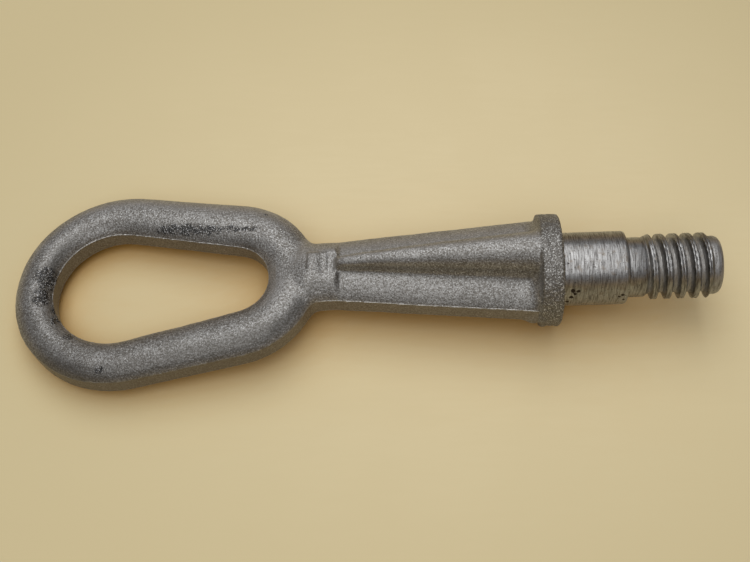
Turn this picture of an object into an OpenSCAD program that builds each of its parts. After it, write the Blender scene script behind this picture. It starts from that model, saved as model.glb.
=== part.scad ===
// Screw-in tow eye: an egg-shaped eye, a flat-topped neck and a cross-shaped shank forged in one piece
// with a round collar, then turned to a pilot and rolled with a coarse right-hand thread.
// X runs along the shank to the thread, the eye lies in the XY plane and Z is up.
// The origin is on the shank axis, in the plane of the collar's seat face.

/* [Eye] */
// Inside radius of the opening at its round end
opening_end_r = 17.4; // [14:0.2:22]
// Inside radius of the opening at the neck end
opening_throat_r = 10.5; // [8:0.1:12]
// Distance between the centres of those two radii
opening_span = 32.7; // [24:0.1:45]
// How far the opening lies to one side of the middle of the eye
opening_offset = 0.35; // [0:0.05:0.6]
// Width of the bar along the sides of the eye
bar_w = 12.5; // [10:0.25:15]
// Height of the bar
bar_h = 11.6; // [10:0.1:12.4]
// How much narrower the bar is at the round end, where the hook pulls
end_thinning = 1.6; // [0:0.1:2.4]
// Width of the bar at the shoulders beside the neck
shoulder_w = 14.2; // [13:0.1:17]
// Width of the wall between the opening and the neck
throat_wall = 13.8; // [12:0.1:15]
// Height of the flat left where the flash was trimmed off
trim_h = 5; // [3:0.25:6]
// How far the trimming cut into the round of the bar
trim_cut = 0.35; // [0.1:0.05:0.6]
// Lean of the eye to one side of the shank axis, in degrees
eye_lean = 2.6; // [0:0.1:4]

/* [Neck] */
// Length of the neck block, from the eye's outline to the notch
neck_l = 6.3; // [5:0.1:12]
// Width of the neck block
neck_w = 19.1; // [17:0.25:21]
// Height of the neck block
neck_h = 13.6; // [13:0.1:15]
// Radius of the fillet between the neck and the eye
neck_fillet_r = 3.5; // [2:0.25:5]
// Length of the small step from the neck block down to the valleys
notch_l = 1.3; // [0.8:0.1:2]

/* [Shank] */
// Length of the cross-shaped shank, from the notch to the collar
shank_l = 54.8; // [40:0.5:80]
// Width over the trimmed edges of the side flanges at the neck
flange_w_neck = 19; // [17:0.2:22]
// How far the trimmed edges of the side flanges stay inside the collar's rim
flange_inset = 0.9; // [0.7:0.1:3]
// Thickness of the side flanges beside the ribs at the neck
flange_t_neck = 12.2; // [9:0.2:13.4]
// Thickness of the side flanges beside the ribs at the collar
flange_t_collar = 13.6; // [10:0.2:15]
// Height over the top and bottom ribs at the neck
rib_h_neck = 16.8; // [15:0.2:19]
// How far the ribs stay inside the collar's rim
rib_inset = 0.3; // [0.2:0.1:3]
// Thickness of the ribs at the neck
rib_t_neck = 3.6; // [2:0.2:6]
// Thickness of the ribs at the collar
rib_t_collar = 11.8; // [7:0.2:13]
// Radius of the fillet between the ribs and the collar
collar_fillet_r = 2.4; // [1.5:0.1:3.4]
// Length of the longer fillet between the side flanges and the collar
flange_fillet_l = 4.4; // [3.5:0.1:6]

/* [Collar] */
// Diameter of the collar
collar_d = 30.8; // [29:0.2:34]
// Thickness of the collar
collar_t = 5.7; // [4:0.1:8]
// Radius of the collar's rounded edges
collar_edge_r = 0.8; // [0.4:0.1:1.5]

/* [Pilot] */
// Diameter of the turned pilot
pilot_d = 20.2; // [18.5:0.1:24]
// Length of the pilot, from the seat to its shoulder
pilot_l = 17.8; // [12:0.1:25]
// Chamfer on the pilot's shoulder
pilot_chamfer = 0.6; // [0.2:0.1:1]
// Diameter of the plain neck between the pilot and the thread
relief_d = 16.2; // [15:0.1:17]
// Length of that plain neck
relief_l = 4.3; // [3:0.1:8]
// Depth of the small step from the plain neck down to the start of the thread
relief_step = 0.2; // [0.1:0.05:0.4]

/* [Thread] */
// Major diameter of the thread
thread_d = 18; // [17:0.1:18.4]
// Root diameter of the thread
thread_root_d = 14.4; // [13.6:0.1:15]
// Pitch of the thread
thread_pitch = 3.7; // [3:0.05:4.5]
// Angle at which the ridge starts, in degrees about the axis
thread_start = 127; // [0:1:359]
// Length over which the thread grows to its full height
thread_run_in = 2.6; // [1.5:0.1:5]
// Threaded length, from the plain neck to the end face
thread_l = 21.1; // [16:0.1:30]
// Diameter of the plain band at the tip
tip_d = 16; // [15:0.1:17]
// Length of the plain band and its rounded end
tip_l = 2.6; // [2:0.1:4]
// Diameter of the flat end face
end_face_d = 13.4; // [10:0.1:14.6]

/* [Hidden] */
$fn = 96;

// Stations along the axis
notch_x = -collar_t - shank_l;
eye_right_x = notch_x - neck_l;
throat_x = eye_right_x - throat_wall - opening_throat_r;
end_x = throat_x - opening_span;
thread_x = pilot_l + relief_l;
tip_x = thread_x + thread_l;

// Outline of the outside of the eye: its two centres and radii
outer_end_r = opening_end_r + bar_w;
outer_end_x = end_x + end_thinning;
outer_throat_r = opening_throat_r + shoulder_w;
outer_throat_x = eye_right_x - outer_throat_r;

// Width and height of the shank's cross where it meets the collar
flange_w_collar = collar_d - 2 * flange_inset;
rib_h_collar = collar_d - 2 * rib_inset;

// Radius at which the shank's fillet meets the flat of the collar, just inside its rounded edge
collar_face_r = collar_d / 2 - collar_edge_r - 0.2;

// Numbers of facets
bar_stations = 64;
bar_sides = 20;
section_sides = 40;
thread_sides = 32;
rows_per_turn = 8;

// Shape of the sections: higher powers give a squarer block and sharper valleys
block_power = 3;
valley_power = 5;
// Shape of the ribs along the shank: below 1 they rise steeply at first
rib_rise = 0.65;

// How deep the eye, neck and collar reach into each other
overlap = 0.6;
// How far the neck's loft reaches into the wall of the eye
neck_root = 9;
// Length over which the neck rises out of the eye, and how deep below the bar's top it starts
neck_rise = 6.5;
neck_sunk = 0.7;
// Length over which the lean takes up
lean_l = 6;

function mix(a, b, t) = a + (b - a) * t;
function clamp01(t) = min(1, max(0, t));
function smooth(t) = clamp01(t) * clamp01(t) * (3 - 2 * clamp01(t));
function turned(p, angle) = [p[0] * cos(angle) - p[1] * sin(angle), p[0] * sin(angle) + p[1] * cos(angle)];

// A point of an egg outline at t from 0 to 1, starting on the axis at its throat end
function egg_point(t, x_end, r_end, x_throat, r_throat) =
    let (tangent = acos((r_end - r_throat) / (x_throat - x_end)),
         arc_a = r_throat * tangent * PI / 180,
         side = sqrt(pow(x_throat - x_end, 2) - pow(r_end - r_throat, 2)),
         arc_b = r_end * (180 - tangent) * PI / 180,
         half = arc_a + side + arc_b,
         mirrored = t > 0.5,
         s = (mirrored ? 1 - t : t) * 2 * half,
         p = s < arc_a ? [x_throat + r_throat * cos(s / r_throat * 180 / PI),
                          r_throat * sin(s / r_throat * 180 / PI)]
           : s < arc_a + side ? [x_throat + r_throat * cos(tangent) - (s - arc_a) * sin(tangent),
                                 r_throat * sin(tangent) + (s - arc_a) * cos(tangent)]
           : [x_end + r_end * cos(tangent + (s - arc_a - side) / r_end * 180 / PI),
              r_end * sin(tangent + (s - arc_a - side) / r_end * 180 / PI)])
    [p[0], mirrored ? -p[1] : p[1]];

// One ring of the eye's bar, between its inner and outer outlines, with the flash trimmed flat
function bar_ring(t) =
    let (inner = egg_point(t, end_x, opening_end_r, throat_x, opening_throat_r) - [0, opening_offset],
         outer = egg_point(t, outer_end_x, outer_end_r, outer_throat_x, outer_throat_r),
         trim_angle = asin(trim_h / bar_h))
    [for (k = [0 : bar_sides - 1])
        let (a = k * 360 / bar_sides,
             c = cos(a),
             flat = cos(trim_angle),
             across = abs(c) > flat ? sign(c) * flat : c,
             xy = mix(inner, outer, (1 + across / flat * (1 - trim_cut / bar_w)) / 2))
        [xy[0], xy[1], bar_h / 2 * sin(a)]];

// A closed polyhedron through rings, whose last ring meets the first
module ring_loop(rings) {
    n = len(rings);
    m = len(rings[0]);
    points = [for (r = rings) for (p = r) p];
    faces = [for (i = [0 : n - 1]) for (k = [0 : m - 1])
        let (i2 = (i + 1) % n, k2 = (k + 1) % m)
        each [[i * m + k, i2 * m + k2, i2 * m + k], [i * m + k, i * m + k2, i2 * m + k2]]];
    polyhedron(points = points, faces = faces, convexity = 6);
}

// A closed polyhedron through rings, with a flat cap at each end
module ring_loft(rings) {
    n = len(rings);
    m = len(rings[0]);
    points = [for (r = rings) for (p = r) p];
    sides = [for (i = [0 : n - 2]) for (k = [0 : m - 1])
        let (k2 = (k + 1) % m)
        each [[i * m + k, (i + 1) * m + k2, i * m + k2], [i * m + k, (i + 1) * m + k, (i + 1) * m + k2]]];
    caps = [[for (k = [0 : m - 1]) k], [for (k = [m - 1 : -1 : 0]) (n - 1) * m + k]];
    polyhedron(points = points, faces = concat(sides, caps), convexity = 6);
}

// Radius at an angle of a section with rounded corners, w wide and h high
function block_radius(a, w, h, power) =
    pow(pow(abs(cos(a)) / (w / 2), power) + pow(abs(sin(a)) / (h / 2), power), -1 / power);

// Radius at an angle of an upright rib of thickness t and height h, with full round crests
function rib_radius(a, t, h) =
    let (c = abs(cos(a)), s = abs(sin(a)), r = t / 2, straight = h / 2 - r)
    s * r <= c * straight ? r / c : straight * s + sqrt(r * r - pow(straight * c, 2));

// Half the width that an oval of thickness t has before its sides are trimmed to half_w
function untrimmed(half_w, t) = half_w / sqrt(1 - pow(trim_h / t, 2));

// Radius at an angle of the cross: an oval flange and an upright rib, joined by soft valleys
function cross_radius(a, half_w, flange_t, rib_t, rib_h) =
    pow(pow(block_radius(a, 2 * untrimmed(half_w, flange_t), flange_t, 2), valley_power)
        + pow(rib_radius(a, rib_t, rib_h), valley_power), 1 / valley_power);

// Half the width of the neck, with the fillet that runs into the eye's shoulders
function neck_half_w(x) =
    let (r = neck_fillet_r,
         centre_y = neck_w / 2 + r,
         centre_x = outer_throat_x + sqrt(pow(outer_throat_r + r, 2) - pow(centre_y, 2)),
         meet_x = outer_throat_x + (centre_x - outer_throat_x) * outer_throat_r / (outer_throat_r + r))
    x >= centre_x ? neck_w / 2
    : x >= meet_x ? centre_y - sqrt(pow(r, 2) - pow(x - centre_x, 2))
    : mix(centre_y - sqrt(pow(r, 2) - pow(meet_x - centre_x, 2)), neck_w / 2,
          smooth((meet_x - x) / (meet_x - eye_right_x + neck_root)));

// How much the shank swells in its fillet at the collar, from 0 to 1, at an angle about the axis
function collar_blend(x, a) =
    let (from_collar = -collar_t - x, r = mix(collar_fillet_r, flange_fillet_l, pow(cos(a), 2)))
    from_collar >= r ? 0 : from_collar <= 0 ? 1 : 1 - sqrt(1 - pow(1 - from_collar / r, 2));

// How far the step from the neck block down to the cross has come, from 0 to 1
function notch_step(x) = smooth((x - notch_x + notch_l) / notch_l);

// Half the width between the trimmed sides of the neck and the flanges
function trim_half(x) =
    mix(neck_half_w(x) - trim_cut / 2, mix(flange_w_neck, flange_w_collar, (x - notch_x) / shank_l) / 2,
        notch_step(x));

// Height of the neck block, which rises out of the eye's wall
function neck_height(x) =
    mix(bar_h - 2 * neck_sunk, neck_h, smooth((x - eye_right_x + neck_root) / neck_rise));

// Radius of the neck and shank at a station and an angle about the axis, before the sides are trimmed
function shank_radius(x, a) =
    let (t = (x - notch_x) / shank_l,
         block = block_radius(a, 2 * neck_half_w(x), neck_height(x), block_power),
         cross = cross_radius(a, mix(flange_w_neck, flange_w_collar, max(0, t)) / 2,
                              mix(flange_t_neck, flange_t_collar, t),
                              mix(rib_t_neck, rib_t_collar, t),
                              mix(rib_h_neck, rib_h_collar, pow(max(0, t), rib_rise))),
         body = mix(block, cross, notch_step(x)))
    mix(body, max(body, collar_face_r), collar_blend(x, a));

// Angle of a section's point: even steps, but with one on each edge of the trimmed sides
function section_angle(x, k) =
    let (a = k * 360 / section_sides,
         edge = atan2(trim_h / 2, trim_half(x)))
    k == 1 ? edge
    : k == section_sides / 2 - 1 ? 180 - edge
    : k == section_sides / 2 + 1 ? 180 + edge
    : k == section_sides - 1 ? 360 - edge
    : a;

// Stations along the neck and shank, close together at the fillets and the notch
shank_stations = concat(
    [for (i = [0 : 11]) mix(eye_right_x - neck_root, notch_x - notch_l - 0.4, i / 11)],
    [for (i = [0 : 3]) mix(notch_x - notch_l, notch_x, i / 3)],
    [for (i = [1 : 9]) mix(notch_x, -collar_t - flange_fillet_l, i / 9)],
    [for (i = [1 : 5]) -collar_t - flange_fillet_l * (1 - sin(i * 15))],
    [-collar_t + overlap]);

// One ring of the neck and shank, with its sides trimmed flat and leaning with the eye at its root
function shank_ring(x) =
    let (lean = eye_lean * smooth((notch_x - x) / lean_l),
         pivot = [notch_x - lean_l / 2, 0],
         limit = mix(trim_half(x), max(trim_half(x), collar_face_r), collar_blend(x, 0)))
    [for (k = [0 : section_sides - 1])
        let (a = section_angle(x, k),
             r = shank_radius(x, a),
             y = max(-limit, min(limit, r * cos(a))),
             flat = turned([x - pivot[0], y], lean) + pivot)
        [flat[0], flat[1], r * sin(a)]];

module eye() {
    translate([notch_x - lean_l / 2, 0, 0])
        rotate([0, 0, eye_lean])
            translate([-notch_x + lean_l / 2, 0, 0])
                ring_loop([for (i = [0 : bar_stations - 1]) bar_ring(i / bar_stations)]);
}

module neck_and_shank() {
    ring_loft([for (x = shank_stations) shank_ring(x)]);
}

// Collar, pilot and plain neck, turned about the X axis
module turned_end() {
    r = collar_edge_r;
    rim = collar_d / 2 - r;
    rotate([90, 0, 90])
        rotate_extrude()
            polygon(concat(
                [[0, -collar_t]],
                [for (i = [0 : 4]) [rim + r * sin(i * 22.5), -collar_t + r - r * cos(i * 22.5)]],
                [for (i = [0 : 4]) [rim + r * cos(i * 22.5), -r + r * sin(i * 22.5)]],
                [[pilot_d / 2, 0],
                 [pilot_d / 2, pilot_l - pilot_chamfer],
                 [pilot_d / 2 - pilot_chamfer, pilot_l],
                 [relief_d / 2, pilot_l],
                 [relief_d / 2, thread_x],
                 [0, thread_x]]));
}

// Height of the thread's rounded ridge at a phase in turns, from 0 in the root to 1 on the crest
function ridge(phase) = clamp01(0.5 + 0.85 * cos(360 * phase));

// Radius of the threaded end at a station and an angle about the axis
function thread_radius(x, a) =
    let (start_r = relief_d / 2 - relief_step,
         grown = smooth((x - thread_x) / thread_run_in),
         crest = mix(start_r, thread_d / 2, grown),
         root = mix(start_r, thread_root_d / 2, grown),
         ridge_r = mix(root, crest, ridge((x - thread_x) / thread_pitch - (a + thread_start) / 360)),
         from_tip = tip_x - x,
         tip_r = mix(end_face_d / 2, tip_d / 2, sqrt(1 - pow(1 - clamp01(from_tip / (0.6 * tip_l)), 2))),
         plain = smooth((tip_l + thread_pitch / 4 - from_tip) / (thread_pitch / 4)))
    min(mix(ridge_r, tip_r, plain), from_tip < tip_l ? tip_r : thread_d);

module thread() {
    rows = ceil(thread_l / thread_pitch * rows_per_turn);
    ring_loft([for (i = [0 : rows])
        let (x = i == 0 ? thread_x - overlap : mix(thread_x, tip_x, i / rows))
        [for (k = [0 : thread_sides - 1])
            let (a = k * 360 / thread_sides, r = thread_radius(x, a))
            [x, r * cos(a), r * sin(a)]]]);
}

module tow_eye() {
    color("dimgray")
        union() {
            eye();
            neck_and_shank();
            turned_end();
            thread();
        }
}

tow_eye();
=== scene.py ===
import math

import bmesh
import bpy
from mathutils import Matrix, Vector, noise
from mathutils.bvhtree import BVHTree


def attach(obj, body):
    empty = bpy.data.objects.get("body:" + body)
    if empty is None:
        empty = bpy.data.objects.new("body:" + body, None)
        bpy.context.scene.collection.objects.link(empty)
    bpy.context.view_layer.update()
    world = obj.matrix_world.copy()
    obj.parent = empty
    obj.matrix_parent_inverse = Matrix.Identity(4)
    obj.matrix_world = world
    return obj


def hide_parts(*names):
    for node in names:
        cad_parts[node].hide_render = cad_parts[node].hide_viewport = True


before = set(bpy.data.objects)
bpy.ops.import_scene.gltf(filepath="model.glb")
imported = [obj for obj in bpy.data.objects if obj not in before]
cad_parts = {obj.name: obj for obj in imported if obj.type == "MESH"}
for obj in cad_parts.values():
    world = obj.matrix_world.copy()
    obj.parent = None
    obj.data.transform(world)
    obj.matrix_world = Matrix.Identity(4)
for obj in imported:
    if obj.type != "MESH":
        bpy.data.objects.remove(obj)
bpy.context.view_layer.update()        # one body, root, with one node, tow_eye
metre = 0.001            # the shapes are written in millimetres, and made metres once they are finished
print("frame loaded")


# Plain sums that several shapes share
def blend(a, b, t):
    return a + (b - a) * t


def within(value, low=0.0, high=1.0):
    return min(high, max(low, value))


def ease(t):
    t = within(t)
    return t * t * (3 - 2 * t)


def near(value, centre, reach):
    return 1 - ease(abs(value - centre) / reach)


# Meshes
def wrapGrid(along, around, place, closed=False):
    # one side of the grid runs along the piece, the other goes round it
    bm = bmesh.new()
    bmesh.ops.create_grid(bm, x_segments=along, y_segments=around, size=0.5)
    for v in bm.verts:
        v.co = place(v.co.x + 0.5, v.co.y + 0.5)
    bmesh.ops.remove_doubles(bm, verts=bm.verts, dist=0.005)
    if not closed:
        bmesh.ops.holes_fill(bm, edges=bm.edges, sides=0)
    bmesh.ops.recalc_face_normals(bm, faces=bm.faces)
    return bm


def spinProfile(points, steps):
    # the points are (along the axis, radius), and the first and last lie on the axis
    bm = bmesh.new()
    verts = [bm.verts.new((x, r, 0)) for x, r in points]
    edges = [bm.edges.new(pair) for pair in zip(verts, verts[1:])]
    bmesh.ops.spin(bm, geom=verts + edges, cent=(0, 0, 0), axis=(1, 0, 0), dvec=(0, 0, 0),
                   angle=2 * math.pi, steps=steps, use_merge=True)
    bmesh.ops.remove_doubles(bm, verts=bm.verts, dist=0.005)
    bmesh.ops.recalc_face_normals(bm, faces=bm.faces)
    return bm


def meshFrom(bm, name):
    mesh = bpy.data.meshes.new(name)
    bm.to_mesh(mesh)
    bm.free()
    return mesh


def addObject(mesh, name):
    piece = bpy.data.objects.new(name, mesh)
    bpy.context.scene.collection.objects.link(piece)
    return piece


def joinAsOne(parts, voxel, name):
    # separate closed shells become one skin
    bm = bmesh.new()
    for part in parts:
        mesh = meshFrom(part, name)
        bm.from_mesh(mesh)
        bpy.data.meshes.remove(mesh)
    shell = addObject(meshFrom(bm, name), name + "Shell")
    remesh = shell.modifiers.new("oneSkin", "REMESH")
    remesh.mode = "VOXEL"
    remesh.voxel_size = voxel
    evaluated = shell.evaluated_get(bpy.context.evaluated_depsgraph_get())
    mesh = bpy.data.meshes.new_from_object(evaluated)
    bpy.data.objects.remove(shell)
    bm = bmesh.new()
    bm.from_mesh(mesh)
    bpy.data.meshes.remove(mesh)
    return bm


# Forged eye, neck, shank and collar
forging = {
    # the egg-shaped opening and the bar round it
    "openingEnd": 17.4, "openingThroat": 10.5, "openingSpan": 32.7, "openingOffset": 0.35,
    "barWidth": 12.5, "barHeight": 11.6, "endThinning": 1.6, "shoulderWidth": 14.2, "throatWall": 13.8,
    # what trimming the flash has left
    "trimHeight": 5.0, "trimCut": 0.35, "burr": 0.22,
    "lean": math.radians(2.6), "leanLength": 6.0,
    # the neck, and the root by which it is sunk into the eye
    "neckLength": 6.3, "neckWidth": 19.1, "neckHeight": 15.0, "neckTop": 6.6, "neckFillet": 3.5, "notch": 1.0,
    "neckRoot": 11.5, "neckRise": 10.5, "neckSunk": 0.7, "rootTop": 7.6, "freeTop": 20.0,
    "blockPower": 1.9, "blockSpread": 1.06,
    # the shank: a pair gives the value at the neck and at the collar
    "shankLength": 54.6, "flangeWidth": (19.1, 29.2), "flangeThick": (12.2, 13.6),
    "ribHeight": (16.8, 30.2), "ribThick": (3.0, 11.8), "ribRise": 0.65, "valleyPower": 5.5,
    # the collar, and the fillets that run up to it
    "collarRadius": 15.4, "collarThick": 5.9, "collarEdge": 0.7, "collarSunk": 0.6, "faceRim": 0.2,
    "ribFillet": 2.4, "flangeFillet": 4.0, "flangeSweep": 1.6,
    # how fine the meshes are: points along and round each grid, steps round the collar, and the joined skin
    "eyeGrid": (460, 96), "shankGrid": (260, 160), "collarSteps": 180, "voxel": 0.44, "onLine": 0.02,
    "smoothTurns": {"skin": 2, "neckSides": 14, "neckTop": 18},
}
collarBack = -forging["collarThick"]
notchX = collarBack - forging["shankLength"]
eyeRightX = notchX - forging["neckLength"]
throatX = eyeRightX - forging["throatWall"] - forging["openingThroat"]
endX = throatX - forging["openingSpan"]
outerEndX = endX + forging["endThinning"]
outerEndRadius = forging["openingEnd"] + forging["barWidth"]
outerThroatRadius = forging["openingThroat"] + forging["shoulderWidth"]
outerThroatX = eyeRightX - outerThroatRadius
leanPivot = Vector((notchX - forging["leanLength"] / 2, 0, 0))
flashHeight = forging["trimHeight"] / 2      # a parting line lies this far above and below the middle


def leaned(point, share=1.0):
    turn = Matrix.Rotation(forging["lean"] * share, 3, "Z")
    return turn @ (Vector(point) - leanPivot) + leanPivot


def eggPoint(t, xEnd, rEnd, xThroat, rThroat):
    # an egg outline at t from 0 to 1: two arcs and the straight sides that touch both
    touch = math.acos((rEnd - rThroat) / (xThroat - xEnd))
    arcThroat = rThroat * touch
    side = math.sqrt((xThroat - xEnd) ** 2 - (rEnd - rThroat) ** 2)
    half = arcThroat + side + rEnd * (math.pi - touch)
    s = 2 * half * (1 - t if t > 0.5 else t)
    if s < arcThroat:
        x, y = xThroat + rThroat * math.cos(s / rThroat), rThroat * math.sin(s / rThroat)
    elif s < arcThroat + side:
        x = xThroat + rThroat * math.cos(touch) - (s - arcThroat) * math.sin(touch)
        y = rThroat * math.sin(touch) + (s - arcThroat) * math.cos(touch)
    else:
        a = touch + (s - arcThroat - side) / rEnd
        x, y = xEnd + rEnd * math.cos(a), rEnd * math.sin(a)
    return x, (-y if t > 0.5 else y)


def eyePlace(t, v):
    # the bar is round above and below, and flat where the flash was trimmed off
    a = v * 2 * math.pi
    flat = math.cos(math.asin(forging["trimHeight"] / forging["barHeight"]))
    across = within(math.cos(a), -flat, flat) / flat * (1 - forging["trimCut"] / forging["barWidth"])
    inner = eggPoint(t, endX, forging["openingEnd"], throatX, forging["openingThroat"])
    inner = (inner[0], inner[1] - forging["openingOffset"])
    outer = eggPoint(t, outerEndX, outerEndRadius, outerThroatX, outerThroatRadius)
    x, y = (blend(i, o, (1 + across) / 2) for i, o in zip(inner, outer))
    return leaned((x, y, forging["barHeight"] / 2 * math.sin(a)))


def blockRadius(a, width, height, power):
    # a block whose section is an oval at a power of 2, and squarer above that
    across, upwards = abs(math.cos(a)) / (width / 2), abs(math.sin(a)) / (height / 2)
    return (across ** power + upwards ** power) ** (-1 / power)


def ribRadius(a, thick, height):
    # an upright rib whose crests are full rounds
    c, s, r = abs(math.cos(a)), abs(math.sin(a)), thick / 2
    straight = height / 2 - r
    if s * r <= c * straight:
        return r / c
    return straight * s + math.sqrt(r * r - (straight * c) ** 2)


def neckHalf(x):
    # half the neck's width, with the fillet that runs into the eye's shoulders
    r = forging["neckFillet"]
    centreY = forging["neckWidth"] / 2 + r
    centreX = outerThroatX + math.sqrt((outerThroatRadius + r) ** 2 - centreY ** 2)
    meetX = outerThroatX + (centreX - outerThroatX) * outerThroatRadius / (outerThroatRadius + r)
    if x >= centreX:
        return forging["neckWidth"] / 2
    if x >= meetX:
        return centreY - math.sqrt(r ** 2 - (x - centreX) ** 2)
    meetY = centreY - math.sqrt(r ** 2 - (meetX - centreX) ** 2)
    intoEye = (meetX - x) / (meetX - eyeRightX + forging["neckRoot"])
    return blend(meetY, forging["neckWidth"] / 2, ease(intoEye))


def pastNotch(x):
    # 0 on the neck and 1 on the shank
    return ease((x - notchX + forging["notch"]) / forging["notch"])


def trimHalf(x):
    # half the width between the trimmed sides of the neck and the flanges
    flange = blend(*forging["flangeWidth"], (x - notchX) / forging["shankLength"]) / 2
    return blend(neckHalf(x) - forging["trimCut"] / 2, flange, pastNotch(x))


def collarSwell(x, a):
    # how far the fillet at the collar has come, which is longer on the flanges than on the ribs
    flank = math.cos(a) ** 2
    length = blend(forging["ribFillet"], forging["flangeFillet"], flank)
    come = 1 - within((collarBack - x) / length)
    return blend(1 - math.sqrt(1 - come ** 2), come ** forging["flangeSweep"], flank ** 2)


def shankPlace(u, v):
    # a flat-topped block at the neck, then an oval flange and an upright rib that both widen to the collar
    x = blend(eyeRightX - forging["neckRoot"], collarBack + forging["collarSunk"], u)
    a = v * 2 * math.pi
    t = (x - notchX) / forging["shankLength"]
    rise = ease((x - eyeRightX + forging["neckRoot"]) / forging["neckRise"])
    neckHeight = blend(forging["barHeight"] - 2 * forging["neckSunk"], forging["neckHeight"], rise)
    block = blockRadius(a, forging["blockSpread"] * 2 * neckHalf(x), neckHeight, forging["blockPower"])
    thick = blend(*forging["flangeThick"], t)
    width = blend(*forging["flangeWidth"], max(0, t))
    width = width / math.sqrt(1 - (forging["trimHeight"] / thick) ** 2)
    ribHeight = blend(*forging["ribHeight"], max(0, t) ** forging["ribRise"])
    rib = ribRadius(a, blend(*forging["ribThick"], t), ribHeight)
    cross = (blockRadius(a, width, thick, 2) ** forging["valleyPower"]
             + rib ** forging["valleyPower"]) ** (1 / forging["valleyPower"])
    radius = blend(block, cross, pastNotch(x))
    face = forging["collarRadius"] - forging["collarEdge"] - forging["faceRim"]
    radius = blend(radius, max(radius, face), collarSwell(x, a))
    side = trimHalf(x)
    side = blend(side, max(side, face), collarSwell(x, 0))
    lean = ease((notchX - x) / forging["leanLength"])
    flat = leaned((x, within(radius * math.cos(a), -side, side), 0), lean)
    top = blend(forging["rootTop"], forging["neckTop"], ease((x - eyeRightX + 1) / 3))
    top = blend(top, forging["freeTop"], pastNotch(x))
    return Vector((flat.x, flat.y, within(radius * math.sin(a), -top, top)))


def roundedCorner(x, r, radius, first, last, steps=6):
    # points of a quarter arc about (x, r), between two angles measured from the axis direction
    angles = [blend(first, last, i / steps) for i in range(steps + 1)]
    return [(x + radius * math.cos(a), r + radius * math.sin(a)) for a in angles]


def collarShell():
    r, edge, quarter = forging["collarRadius"], forging["collarEdge"], math.pi / 2
    points = [(collarBack, 0)]
    points += roundedCorner(collarBack + edge, r - edge, edge, 2 * quarter, quarter)
    points += roundedCorner(-edge, r - edge, edge, quarter, 0)
    return spinProfile(points + [(0, 0)], forging["collarSteps"])


# Unevenness of the skin: height, size and seed of each kind
unevenness = {
    "waves": (0.09, 9.0, 3.0), "grain": (0.03, 1.3, 9.0), "collarPimples": (0.13, 1.25, 21.0),
    "dents": (0.20, 1.4, 33.0),
}


def uneven(co, kind, octaves=3):
    height, size, seed = unevenness[kind]
    return height * noise.fractal(co / size + Vector((seed, seed * 0.7, -seed)), 1.0, 2.0, octaves)


# Marks of use and of the forge on the upper side: the dents are rough and dark, the scars are only dark
marks = {
    # place along and across the part, and the reach each way, in millimetres
    "dents": [(-143.2, -0.6, 2.6, 3.0), (-143.4, -6.9, 1.8, 2.6), (-139.8, -9.0, 0.8, 2.2),
              (-138.7, -13.2, 0.9, 1.8)],
    "scars": [(-109.0, 14.5, 3.8, 1.1), (-103.2, 14.2, 3.8, 1.3), (-97.4, 13.5, 3.6, 1.1),
              (-91.5, 13.4, 2.6, 0.8), (-86.0, 13.2, 2.6, 0.6),
              (-123.8, -29.6, 0.9, 0.9), (-82.1, 18.2, 0.6, 0.5), (-134.0, -19.0, 1.0, 1.2)],
    # place and reach
    "pits": [(-44.3, -7.2, 0.45), (-82.3, 18.1, 0.5), (-123.9, -29.6, 0.45), (-61.0, -2.5, 0.3)],
    "pitDepth": 0.28,
    # one plain raised pad on the neck: its middle and its half sizes, along and across
    "pad": (-66.5, 0.95, 2.7, 2.9), "padHeight": 0.3, "padSlope": 0.8, "padLine": 0.9,
    # lumps of flash left on the collar, mostly on its near side: place, reach and height
    "lumps": [(-5.0, -12.6, -8.4, 1.5, 0.45), (-2.6, -12.0, -9.6, 1.3, 0.4), (-0.9, -12.9, -8.0, 1.1, 0.35),
              (-7.0, -14.4, -1.6, 2.3, 0.75), (-8.9, -14.3, -2.0, 1.8, 0.45), (-6.4, 13.6, 6.4, 1.5, 0.4)],
}
# How the tone of the skin changes: how much darker the near and left bars of the eye are, and the
# painted light and shade on the flanks: lighter where they face the far side, darker where they face the near
# side
tonesAndPaintedLight = {
    "nearBar": 1.0, "leftBar": 0.5, "farFlankPaintedLight": 1.0, "nearFlankPaintedShade": 1.6, "farSide": Vector((-0.5, 0.85, 0)),
}


def blot(co, spots):
    # how much of the rounded spots covers a point, from 0 to 1, fading out a little past their reach
    covered = 0
    for x, y, reachX, reachY in spots:
        covered = max(covered, 1 - math.hypot((co.x - x) / reachX, (co.y - y) / reachY) / 1.4)
    return covered


def padCover(co):
    # 1 on the pad and 0 beside it, with a soft slope between
    x, y, halfX, halfY = marks["pad"]
    outside = max(abs(co.x - x) - halfX, abs(co.y - y) - halfY)
    return ease((0.35 - outside) / marks["padSlope"])


def smoothed(bm, verts, turns):
    everyWay = {"use_axis_x": True, "use_axis_y": True, "use_axis_z": True}
    for turn in range(turns):
        bmesh.ops.smooth_vert(bm, verts=verts, factor=0.5, **everyWay)


def fromLine(v):
    # the height of a point above or below the nearer parting line
    return abs(abs(v.co.z) - flashHeight)


def burrSizeAndPaintedHighlight(v):
    # how strong the burr is, in its height and in its painted highlight: strong inside the eye and along the
    # shank, worn away round the outside of the eye, and weaker on the lower parting line
    if v.co.z < 0:
        return 0.3
    if v.co.x > eyeRightX:
        return 0.75
    towardsOpening = v.normal.dot(Vector(((endX + throatX) / 2, -2.5, 0)) - v.co)
    return 1.0 if towardsOpening > 0 else 0.35


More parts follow.
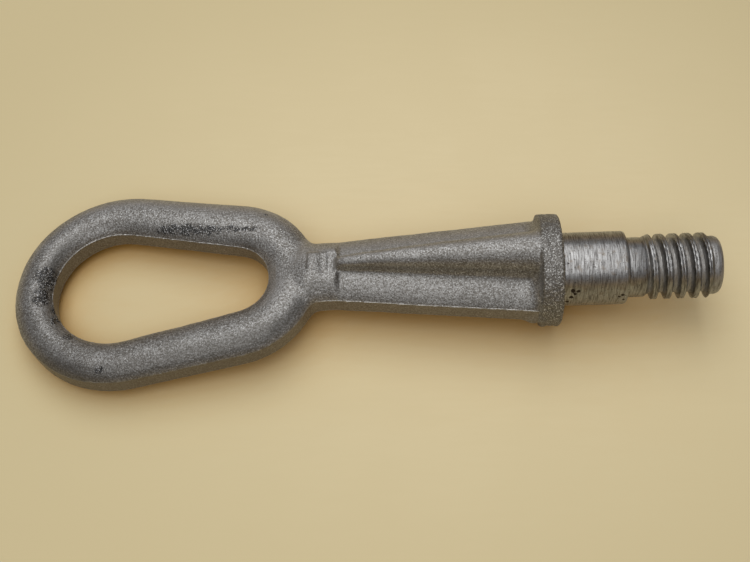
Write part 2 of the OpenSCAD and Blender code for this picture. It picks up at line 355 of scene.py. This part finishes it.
def forgedMove(v):
    # how far a point of the forging stands off its ideal shape, in millimetres
    co = v.co
    onCollar = ease((co.x - collarBack + 1.6) / 1.6)
    flank = math.hypot(v.normal.x, v.normal.y)
    move = uneven(co, "waves") + uneven(co, "grain")
    move += onCollar * (uneven(co, "collarPimples") - 0.05)
    if flank > 0.7 and onCollar < 0.5 and fromLine(v) < forging["onLine"]:
        move += forging["burr"] * burrSizeAndPaintedHighlight(v) * (0.85 + 0.25 * noise.noise(co / 3.5))
    if v.normal.z > 0.2 and onCollar < 0.5:
        move += marks["padHeight"] * padCover(co)
        dent = within(blot(co, marks["dents"]) * 2.2)
        move += dent * (uneven(co, "dents", 2) - 0.05)
        for x, y, reach in marks["pits"]:
            move -= marks["pitDepth"] * near(math.hypot(co.x - x, co.y - y), 0, reach * 1.6)
    for x, y, z, reach, height in marks["lumps"]:
        move += height * near((co - Vector((x, y, z))).length, 0, reach * 1.5)
    return v.normal * move


def skinToneAndPaintedLight(v):
    # 1 is the plain skin, less is darker and more is lighter; flanks facing the far side get painted light,
    # those facing the near side painted shade
    if v.co.x > collarBack:
        return 1
    nearBar = ease((-6 - v.co.y) / 14) * ease((eyeRightX - 4 - v.co.x) / 14)
    leftBar = ease((endX - 10.2 - v.co.x) / 8)
    facing = v.normal.dot(tonesAndPaintedLight["farSide"])
    bars = within(tonesAndPaintedLight["nearBar"] * nearBar + tonesAndPaintedLight["leftBar"] * leftBar)
    flankPaintedLightAndShade = tonesAndPaintedLight["farFlankPaintedLight"] * near(facing, 0.35, 0.35) - tonesAndPaintedLight["nearFlankPaintedShade"] * near(facing, -0.45, 0.4)
    return 1 - bars + flankPaintedLightAndShade


def makeForging():
    eye = wrapGrid(*forging["eyeGrid"], eyePlace, closed=True)
    shank = wrapGrid(*forging["shankGrid"], shankPlace)
    bm = joinAsOne([eye, shank, collarShell()], forging["voxel"], "forging")
    print("forging joined", len(bm.faces))
    # the skin is eased all over, and the hollows between the eye and the neck more, but not the parting lines
    turns = forging["smoothTurns"]
    smoothed(bm, [v for v in bm.verts if fromLine(v) > 0.7], turns["skin"])
    root = [v for v in bm.verts if eyeRightX - 11 < v.co.x < notchX - 2.2]
    smoothed(bm, [v for v in root if abs(v.co.y) > 7.5 and fromLine(v) > 0.5], turns["neckSides"])
    smoothed(bm, [v for v in root if abs(v.co.z) > 3.5 and v.co.x < eyeRightX + 1], turns["neckTop"])
    for height in (-flashHeight, flashHeight):
        bmesh.ops.bisect_plane(bm, geom=bm.verts[:] + bm.edges[:] + bm.faces[:], dist=forging["onLine"],
                               plane_co=(0, 0, height), plane_no=(0, 0, 1))
    bm.normal_update()
    # how upright the skin is, the painted highlight on its burr, how worn and dented it is, and its tone with
    # the painted light and shade of the flanks go to the material
    upright, burrPaintedHighlight, worn, dented, toneAndPaintedLight = (
        bm.verts.layers.float.new(name) for name in ("upright", "burrPaintedHighlight", "worn", "dented", "toneAndPaintedLight"))
    for v in bm.verts:
        v[upright] = within(math.hypot(v.normal.x, v.normal.y)) if v.co.x < collarBack - 0.6 else 0
        v[burrPaintedHighlight] = v[upright] * burrSizeAndPaintedHighlight(v)
        above = within(v.normal.z * 3)
        cover = padCover(v.co)
        scarred = within(blot(v.co, marks["scars"] + marks["dents"]) * 1.6)
        v[worn] = above * max(scarred, marks["padLine"] * cover * (1 - cover))
        v[dented] = above * within(blot(v.co, marks["dents"]) * 2)
        v[toneAndPaintedLight] = skinToneAndPaintedLight(v)
    moves = [forgedMove(v) for v in bm.verts]
    for v, move in zip(bm.verts, moves):
        v.co += move
    bmesh.ops.scale(bm, vec=(metre, metre, metre), verts=bm.verts)
    bmesh.ops.triangulate(bm, faces=[face for face in bm.faces if len(face.verts) > 4])
    for face in bm.faces:
        face.smooth = True
    print("forging triangles", sum(len(face.verts) - 2 for face in bm.faces))
    return addObject(meshFrom(bm, "forgedBody"), "forgedBody")


# Turned pilot, plain neck and rolled thread
turning = {
    "pilotRadius": 10.1, "pilotLength": 17.8, "chamfer": 0.6,
    "neckRadius": 8.25, "neckLength": 4.3, "step": 0.05,
    # the thread: start is its place round the axis as a share of a turn, and it grows over the run-in
    "threadRadius": 9.0, "rootRadius": 7.2, "pitch": 3.7, "start": 127 / 360, "runIn": 2.6,
    "threadLength": 21.1, "crestSeam": 0.12,
    "tipRadius": 8.0, "tipLength": 2.6, "faceRadius": 6.7, "faceCore": 3.0,
    "steps": 216, "row": 0.13, "sharpAngle": 0.7,
    # rust pits on the pilot: along the axis, angle round it in degrees, and reach
    "pits": [(2.7, 156.4, 0.8), (4.2, 157.5, 0.6), (3.3, 163.0, 0.6), (2.4, 170.0, 0.75),
             (1.5, 182.0, 0.7), (16.2, 168.0, 0.6), (15.3, 172.0, 0.5), (16.6, 180.0, 0.5),
             (8.4, 118.0, 0.25), (1.5, 112.0, 0.3), (2.2, 96.0, 0.25)],
    "pitDepth": 0.12,
}
threadX = turning["pilotLength"] + turning["neckLength"]
tipX = threadX + turning["threadLength"]


def threadRadius(x, a):
    # a rolled thread with a fine seam along its crests, that ends in a domed tip
    grown = ease((x - threadX) / turning["runIn"])
    start = turning["neckRadius"] - turning["step"]
    crest = blend(start, turning["threadRadius"], grown)
    root = blend(start, turning["rootRadius"], grown)
    phase = (x - threadX) / turning["pitch"] - a / (2 * math.pi) - turning["start"]
    ridge = within(0.6 + 0.85 * math.cos(2 * math.pi * phase))
    seam = near((phase + 0.5) % 1, 0.5, 0.06) * turning["crestSeam"] * grown
    radius = blend(root, crest, ridge) - seam
    fromTip = tipX - x
    dome = math.sqrt(1 - (1 - within(fromTip / (0.6 * turning["tipLength"]))) ** 2)
    tip = blend(turning["faceRadius"], turning["tipRadius"], dome)
    plain = ease((turning["tipLength"] + turning["pitch"] / 4 - fromTip) / (turning["pitch"] / 4))
    limit = tip if fromTip < turning["tipLength"] else turning["threadRadius"]
    return min(blend(radius, tip, plain), limit)


def makeTurnedEnd():
    pilot, neck, length, cut = (
        turning[name] for name in ("pilotRadius", "neckRadius", "pilotLength", "chamfer"))
    # the pilot starts inside the collar, with a fine undercut at the seat
    points = [(-1.5, 0), (-1.5, pilot - 1), (-0.4, pilot - 0.35), (0.25, pilot - 0.3), (0.6, pilot)]
    rows = int((length - cut - 0.6) / 0.3)
    points += [(blend(0.6, length - cut, i / rows), pilot) for i in range(1, rows + 1)]
    points += [(length - cut * 0.3, pilot - cut * 0.3), (length, pilot - cut), (length, neck + 0.3)]
    points += [(length + 0.1, neck + 0.1), (length + 0.3, neck), (length + 0.6, neck), (threadX - 0.3, neck)]
    threadRows = int(turning["threadLength"] / turning["row"])
    points += [(blend(threadX, tipX, i / threadRows), neck) for i in range(threadRows + 1)]
    points += [(tipX, turning["faceCore"]), (tipX, 0)]
    bm = spinProfile(points, turning["steps"])
    worn = bm.verts.layers.float.new("worn")
    for v in bm.verts:
        fromAxis = math.hypot(v.co.y, v.co.z)
        if v.co.x >= threadX - 0.01 and fromAxis > turning["faceCore"] + 1:
            radius = threadRadius(v.co.x, math.atan2(v.co.z, v.co.y))
            direction = Vector((0, v.co.y, v.co.z)).normalized()
            v.co = Vector((v.co.x, 0, 0)) + direction * radius
        elif fromAxis > pilot - 0.01:
            for x, angle, reach in turning["pits"]:
                turned = math.remainder(math.atan2(v.co.z, v.co.y) - math.radians(angle), 2 * math.pi)
                rust = near(math.hypot(v.co.x - x, turned * pilot), 0, reach * 1.5)
                v[worn] = max(v[worn], rust)
            v.co -= Vector((0, v.co.y, v.co.z)).normalized() * turning["pitDepth"] * v[worn]
    bmesh.ops.scale(bm, vec=(metre, metre, metre), verts=bm.verts)
    for face in bm.faces:
        face.smooth = True
    for edge in bm.edges:
        if len(edge.link_faces) == 2 and edge.calc_face_angle() > turning["sharpAngle"]:
            edge.smooth = False
    return addObject(meshFrom(bm, "turnedEnd"), "turnedEnd")


# Materials
class Wire:
    # a socket that can be added, multiplied and so on
    def __init__(self, paint, socket):
        self.paint = paint
        self.socket = socket

    def maths(self, operation, *values):
        return self.paint.add("ShaderNodeMath", {"operation": operation}, dict(enumerate(values)))

    def __add__(self, other):
        return self.maths("ADD", self, other)

    def __sub__(self, other):
        return self.maths("SUBTRACT", self, other)

    def __rsub__(self, other):
        return self.maths("SUBTRACT", other, self)

    def __mul__(self, other):
        return self.maths("MULTIPLY", self, other)

    def __truediv__(self, other):
        return self.maths("DIVIDE", self, other)

    __radd__ = __add__
    __rmul__ = __mul__

    def power(self, other):
        return self.maths("POWER", self, other)

    def size(self):
        return self.maths("ABSOLUTE", self)

    def limited(self):
        return self.maths("MINIMUM", self.maths("MAXIMUM", self, 0.0), 1.0)

    def mask(self, low, high):
        # 0 at low and 1 at high, smooth between
        return self.paint.add("ShaderNodeMapRange", {"interpolation_type": "SMOOTHSTEP"},
                              {"Value": self, "From Min": low, "From Max": high})


class Paint:
    # the nodes that a material or the room is made of
    def __init__(self, owner):
        self.owner = owner
        self.owner.use_nodes = True
        self.tree = self.owner.node_tree

    def plug(self, socket, value):
        if isinstance(value, Wire):
            self.tree.links.new(value.socket, socket)
        else:
            socket.default_value = value

    def add(self, kind, settings, sockets, output=0):
        node = self.tree.nodes.new(kind)
        for name, value in settings.items():
            setattr(node, name, value)
        for name, value in sockets.items():
            self.plug(node.inputs[name], value)
        return Wire(self, node.outputs[output])

    def place(self):
        # the piece's own coordinates, in millimetres
        own = self.add("ShaderNodeTexCoord", {}, {}, "Object")
        return self.add("ShaderNodeVectorMath", {"operation": "SCALE"}, {"Vector": own, "Scale": 1 / metre})

    def kept(self, name):
        # a value that was worked out for each point of the mesh
        return self.add("ShaderNodeAttribute", {"attribute_name": name}, {}, "Fac")

    def axes(self, vector):
        return [self.add("ShaderNodeSeparateXYZ", {}, {0: vector}, axis) for axis in "XYZ"]

    def stretch(self, vector, scale):
        return self.add("ShaderNodeVectorMath", {"operation": "MULTIPLY"}, {0: vector, 1: scale})

    def grain(self, vector, scale, detail=2.0, roughness=0.5):
        return self.add("ShaderNodeTexNoise", {},
                        {"Vector": vector, "Scale": scale, "Detail": detail, "Roughness": roughness})

    def cells(self, vector, scale):
        return self.add("ShaderNodeTexVoronoi", {"feature": "SMOOTH_F1"}, {"Vector": vector, "Scale": scale})

    def colour(self, share, first, second):
        # the first colour where the share is 0, the second where it is 1
        colours = {6: self.rgba(first), 7: self.rgba(second)}
        return self.add("ShaderNodeMix", {"data_type": "RGBA"}, {0: share, **colours}, 2)

    def rgba(self, value):
        return value if isinstance(value, Wire) else (*value, 1.0)

    def bump(self, height, distance):
        return self.add("ShaderNodeBump", {}, {"Height": height, "Distance": distance * metre})

    def finish(self, shader="Principled BSDF", **sockets):
        for name, value in sockets.items():
            self.plug(self.tree.nodes[shader].inputs[name.replace("_", " ")], value)
        return self.owner


skin = {
    "dull": (0.12, 0.111, 0.098), "bright": (0.25, 0.245, 0.236), "spark": (0.52, 0.52, 0.51),
    # light is the painted light on the far-facing flanks, and dark also gives the painted shade on the
    # near-facing flanks
    "dark": (0.05, 0.046, 0.04), "light": (0.42, 0.41, 0.395),
    "collar": (0.075, 0.068, 0.058), "collarSpark": (0.56, 0.56, 0.54),
    # flank and wall are browns that are partly a painted reflection of the shaded warm floor, and burr is
    # partly a painted highlight
    "flank": (0.125, 0.10, 0.07), "wall": (0.15, 0.122, 0.085), "burr": (0.60, 0.58, 0.55),
    "scar": (0.016, 0.015, 0.014), "scarSpark": (0.5, 0.5, 0.5),
    "metal": 0.6, "rough": 0.44, "relief": 0.12,
}


def forgedSkin():
    # shot-blasted forging skin: fine grey grain, a bright burr at the parting lines that is partly a painted
    # highlight, dark dents and scars, and painted light, shade and reflection on the flanks and walls
    paint = Paint(bpy.data.materials.new("forgedSkin"))
    place = paint.place()
    x, y, z = paint.axes(place)
    upright, burrPaintedHighlight, worn, dented, toneAndPaintedLight = (
        paint.kept(name) for name in ("upright", "burrPaintedHighlight", "worn", "dented", "toneAndPaintedLight"))
    fine = paint.grain(place, 2.0, 2.0, 0.6)
    spark = paint.grain(place, 2.9, 1.0, 0.5)
    coarse = paint.grain(place, 0.8, 2.0, 0.5)
    cloud = paint.grain(place, 0.13, 3.0, 0.6)
    lengthwise = paint.grain(paint.stretch(place, (0.25, 1.2, 1.2)), 1.0, 3.0, 0.6)
    pimple = paint.cells(place, 1.6)
    collar = x.mask(collarBack - 0.7, collarBack + 0.5)
    bright = (fine * 0.8 + coarse * 0.12 + lengthwise * 0.08 + (cloud - 0.5) * 0.16).mask(0.40, 0.60)
    base = paint.colour(bright, skin["dull"], skin["bright"])
    base = paint.colour(spark.mask(0.60, 0.70) * 0.75, base, skin["spark"])
    base = paint.colour(spark.mask(0.40, 0.32) * 0.6, base, skin["dark"])
    # the tone is 1 on plain skin, falls to 0 and below where the bars are darker and where painted shade lies
    # on the near-facing flanks, and rises to 2 where painted light lies on the far-facing flanks
    darkerAndPaintedShade = (1.0 - toneAndPaintedLight).limited() * 0.25 + (0.0 - toneAndPaintedLight).limited() * 0.4
    base = paint.colour(darkerAndPaintedShade, base, skin["dark"])
    base = paint.colour((toneAndPaintedLight - 1.0).limited() * 0.3, base, skin["light"])
    base = paint.colour(collar * 0.64, base, skin["collar"])
    base = paint.colour(collar * spark.mask(0.57, 0.65) * 0.6, base, skin["collarSpark"])
    # the wall the trimming left is smoother than the blasted skin, and darker and browner, partly its own
    # colour and partly a painted reflection of the shaded floor
    fromMiddle = z.size() + (coarse - 0.5) * 0.16
    wall = upright.mask(0.72, 0.92) * fromMiddle.mask(flashHeight + 0.16, flashHeight - 0.04)
    # upright flanks are painted a little browner, a painted reflection of the warm floor
    base = paint.colour(upright.mask(0.6, 0.95) * 0.12, base, skin["flank"])
    base = paint.colour(wall * 0.5, base, skin["wall"])
    # the burr's bright line is partly a polished edge and partly a painted highlight where the ridge catches
    # the light
    burrHighlightLine = burrPaintedHighlight.mask(0.0, 0.9) * (fromMiddle - (flashHeight + 0.06)).size().mask(0.24, 0.04)
    burrHighlightLine = burrHighlightLine * (0.5 + (coarse * 0.6 + lengthwise * 0.6).mask(0.45, 0.7) * 0.5)
    base = paint.colour(burrHighlightLine * 0.65, base, skin["burr"])
    # scars and dents are broken up into dark specks with a few bright ones between
    broken = worn * 0.5 + (fine - 0.5) * 3.0 + (coarse - 0.5) * 2.0
    scar = broken.mask(0.12, 0.34) * worn.mask(0.02, 0.3)
    base = paint.colour(scar * 0.95, base, skin["scar"])
    base = paint.colour(worn.mask(0.1, 0.5) * spark.mask(0.58, 0.66) * 0.6, base, skin["scarSpark"])
    rough = skin["rough"] - bright * 0.07 + wall * 0.03 + collar * 0.08
    grain = fine * 0.8 + spark * 0.35 + coarse * 0.3 + pimple * (0.1 + collar * 0.9)
    grain = grain + (dented + worn * 0.4) * (fine + coarse)
    height = grain * (1.0 - wall * 0.75) + burrHighlightLine * 0.8
    return paint.finish(Base_Color=base, Metallic=skin["metal"], Roughness=rough,
                        Normal=paint.bump(height, skin["relief"]))


steel = {
    # root is a painted lift of the shade in the thread's grooves
    "dark": (0.135, 0.13, 0.125), "bright": (0.30, 0.298, 0.293), "speck": (0.04, 0.035, 0.03),
    "scratch": (0.05, 0.045, 0.04), "stain": (0.15, 0.11, 0.07), "root": (0.24, 0.22, 0.19),
    "rust": (0.028, 0.018, 0.011),
    "metal": 0.95, "rough": 0.36, "relief": 0.035,
}


def turnedSteel():
    # turned and rolled steel: fine marks round the axis, a little brown in the marks, rust in the pits, and
    # the thread's roots painted lighter against the shade in the grooves
    paint = Paint(bpy.data.materials.new("turnedSteel"))
    place = paint.place()
    x, y, z = paint.axes(place)
    worn = paint.kept("worn")
    hairs = paint.grain(paint.stretch(place, (3.4, 0.3, 0.3)), 1.0, 2.0, 0.6)
    wide = paint.grain(paint.stretch(place, (1.3, 0.06, 0.06)), 1.0, 2.0, 0.5)
    stain = paint.grain(place, 0.5, 4.0, 0.65)
    speck = paint.grain(place, 2.2, 2.0, 0.6)
    radius = (y * y + z * z).power(0.5)
    onThread = x.mask(threadX - 0.1, threadX + 1.9)
    root = onThread * radius.mask(8.5, 7.5)
    bright = (hairs * 0.8 + wide * 0.2).mask(0.36, 0.62)
    base = paint.colour(bright, steel["dark"], steel["bright"])
    base = paint.colour(speck.mask(0.60, 0.70) * 0.8, base, steel["speck"])
    base = paint.colour(hairs.mask(0.40, 0.30) * 0.6, base, steel["scratch"])
    base = paint.colour(stain.mask(0.52, 0.70) * 0.4, base, steel["stain"])
    # the thread's roots are painted lighter, a painted lift of the shade in the grooves
    base = paint.colour(root * 0.3, base, steel["root"])
    rust = (worn + (speck - 0.5) * 0.8).mask(0.3, 0.6) * worn.mask(0.02, 0.2)
    base = paint.colour(rust * 0.95, base, steel["rust"])
    rough = steel["rough"] - bright * 0.08 + stain.mask(0.5, 0.8) * 0.12 + rust * 0.3 + root * 0.12
    height = hairs * 0.7 + wide * 0.15 + stain * 0.3 + speck * 0.4
    return paint.finish(Base_Color=base, Metallic=steel["metal"] - root * 0.35, Roughness=rough,
                        Normal=paint.bump(height, steel["relief"]))


def finishPiece(piece, material):
    piece.data.materials.append(material)
    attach(piece, "root")
    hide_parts("tow_eye")


body = makeForging()
finishPiece(body, forgedSkin())
print("forged body made")
end = makeTurnedEnd()
finishPiece(end, turnedSteel())
print("turned end made")


def solidTree(pieces):
    bm = bmesh.new()
    for piece in pieces:
        bm.from_mesh(piece.data)
    tree = BVHTree.FromBMesh(bm)
    bm.free()
    return tree


# Floor: it touches the collar and the underside of the eye, so it lies at a small angle to the shank
floor = {
    "collarTouch": (-4.8, -15.4), "eyeTouch": (-146.0, -5.85), "size": 3000.0,
    "light": (0.672, 0.568, 0.348), "dark": (0.655, 0.552, 0.335), "edge": (0.565, 0.475, 0.275),
    # middle and reach place the painted pool of light on the card, which falls off to the edge colour
    "middle": (-25.0, 22.0), "reach": 160.0,
    # the fine patch: middle and half size along each axis, and the cuts across it
    "patch": ((-53.0, 116.0), (-4.0, 52.0)), "cuts": 110,
    # the warm shade starts where less than this share of the sky is open
    "shade": (0.56, 0.28, 0.045), "openFrom": 0.98, "shadePower": 1.5, "shadeShare": 1.2,
    "rings": 6, "raysInRing": 16, "rayLength": 60.0,
}


def openSky(solid, co):
    # how much of the sky over a point of the floor the object leaves open, from 0 to 1
    rings, raysInRing = floor["rings"], floor["raysInRing"]
    free = 0
    for ring in range(rings):
        for ray in range(raysInRing):
            rise = math.asin(math.sqrt((ring + 0.5) / rings))
            turn = (ray + 0.5 * (ring % 2)) * 2 * math.pi / raysInRing
            flat = math.sin(rise)
            towards = Vector((flat * math.cos(turn), flat * math.sin(turn), math.cos(rise)))
            free += solid.ray_cast(co, towards, floor["rayLength"] * metre)[0] is None
    return free / (rings * raysInRing)


def makeFloor(solid):
    # a fine patch of card under the object, which keeps how open its sky is, in a wide plain one
    (xa, za), (xb, zb) = floor["collarTouch"], floor["eyeTouch"]
    slope = math.atan2(za - zb, xa - xb)
    bm = bmesh.new()
    bmesh.ops.create_grid(bm, x_segments=3, y_segments=3, size=floor["size"] / 2)
    for v in bm.verts:
        # the middle square shrinks to the fine patch
        for axis, (centre, half) in enumerate(floor["patch"]):
            if abs(v.co[axis]) < floor["size"] / 4:
                v.co[axis] = centre + math.copysign(half, v.co[axis])
    middle = [f for f in bm.faces if all(abs(v.co.x) < 400 and abs(v.co.y) < 400 for v in f.verts)]
    edges = list({edge for face in middle for edge in face.edges})
    bmesh.ops.subdivide_edges(bm, edges=edges, cuts=floor["cuts"], use_grid_fill=True)
    bmesh.ops.rotate(bm, cent=(0, 0, 0), matrix=Matrix.Rotation(-slope, 3, "Y"), verts=bm.verts)
    bmesh.ops.translate(bm, vec=(xa, 0, za - 0.02), verts=bm.verts)
    bmesh.ops.scale(bm, vec=(metre, metre, metre), verts=bm.verts)
    opened = bm.verts.layers.float.new("opened")
    for v in bm.verts:
        v[opened] = openSky(solid, v.co + Vector((0, 0, 0.0001))) if v.co.xy.length < 0.3 else 1
    piece = addObject(meshFrom(bm, "floor"), "floor")
    # the card is painted a little darker away from the middle, a painted falloff of the light, and painted a
    # warm shade where the metal shades it
    paint = Paint(bpy.data.materials.new("floorCard"))
    place = paint.place()
    x, y, z = paint.axes(place)
    x, y = x - floor["middle"][0], y - floor["middle"][1]
    fibres = paint.grain(paint.stretch(place, (0.15, 1.0, 1.0)), 0.5, 3.0)
    soft = paint.grain(place, 0.02) * 0.7 + fibres * 0.3
    card = paint.colour(soft.mask(0.38, 0.62), floor["dark"], floor["light"])
    paintedFalloff = ((x * x + y * y * 1.6).power(0.5) / floor["reach"]).mask(0.15, 1.1)
    card = paint.colour(paintedFalloff, card, floor["edge"])
    shaded = (floor["openFrom"] - paint.kept("opened")).limited().power(floor["shadePower"])
    card = paint.colour(shaded * floor["shadeShare"], card, floor["shade"])
    piece.data.materials.append(paint.finish(Base_Color=card, Roughness=0.8, Specular_IOR_Level=0.2))


makeFloor(solidTree([body, end]))
print("floor made")

# Light: one wide soft box overhead, in metres, in a dim room whose lower walls are warm
lighting = {
    "boxPlace": (-0.07, 0.0, 0.62), "boxSize": (1.4, 0.5), "boxPower": 5.2,
    "room": (0.28, 0.28, 0.29), "lowWalls": (0.44, 0.29, 0.12), "wallTop": (0.05, 0.45),
    "backdrop": (0.78, 0.73, 0.60),
}


def makeLight():
    lamp = bpy.data.lights.new("softBox", "AREA")
    lamp.shape = "RECTANGLE"
    lamp.size, lamp.size_y = lighting["boxSize"]
    lamp.energy = lighting["boxPower"]
    box = bpy.data.objects.new("softBox", lamp)
    box.location = lighting["boxPlace"]
    box.rotation_euler = (-box.location).to_track_quat("-Z", "Y").to_euler()
    bpy.context.scene.collection.objects.link(box)
    # the camera sees a pale backdrop in place of the walls
    paint = Paint(bpy.data.worlds.new("room"))
    x, y, z = paint.axes(paint.add("ShaderNodeTexCoord", {}, {}, "Generated"))
    walls = paint.colour(z.mask(*lighting["wallTop"]), lighting["lowWalls"], lighting["room"])
    seen = paint.add("ShaderNodeLightPath", {}, {}, "Is Camera Ray")
    shown = paint.colour(seen, walls, lighting["backdrop"])
    bpy.context.scene.world = paint.finish("Background", Color=shown)


makeLight()

# Camera: looks down at the shank from its side, at the photograph's angle
view = {
    "place": Vector((-35.3, -141.65, 241.0)), "forward": Vector((-0.056, 0.5007, -0.8638)),
    "right": Vector((0.998, 0.0021, -0.0635)), "focalPixels": 1000, "widthPixels": 750, "sensor": 36.0,
}


def makeCamera():
    data = bpy.data.cameras.new("camera")
    data.sensor_fit = "HORIZONTAL"
    data.sensor_width = view["sensor"]
    data.lens = view["sensor"] * view["focalPixels"] / view["widthPixels"]
    data.clip_start, data.clip_end = 0.01, 20
    camera = bpy.data.objects.new("camera", data)
    back = -view["forward"].normalized()
    up = back.cross(view["right"]).normalized()
    right = up.cross(back)
    turn = Matrix((right, up, back)).transposed().to_4x4()
    camera.matrix_world = Matrix.Translation(view["place"] * metre) @ turn
    bpy.context.scene.collection.objects.link(camera)
    bpy.context.scene.camera = camera


makeCamera()
bpy.context.scene.view_settings.view_transform = "Standard"
print("stage, light and camera made")
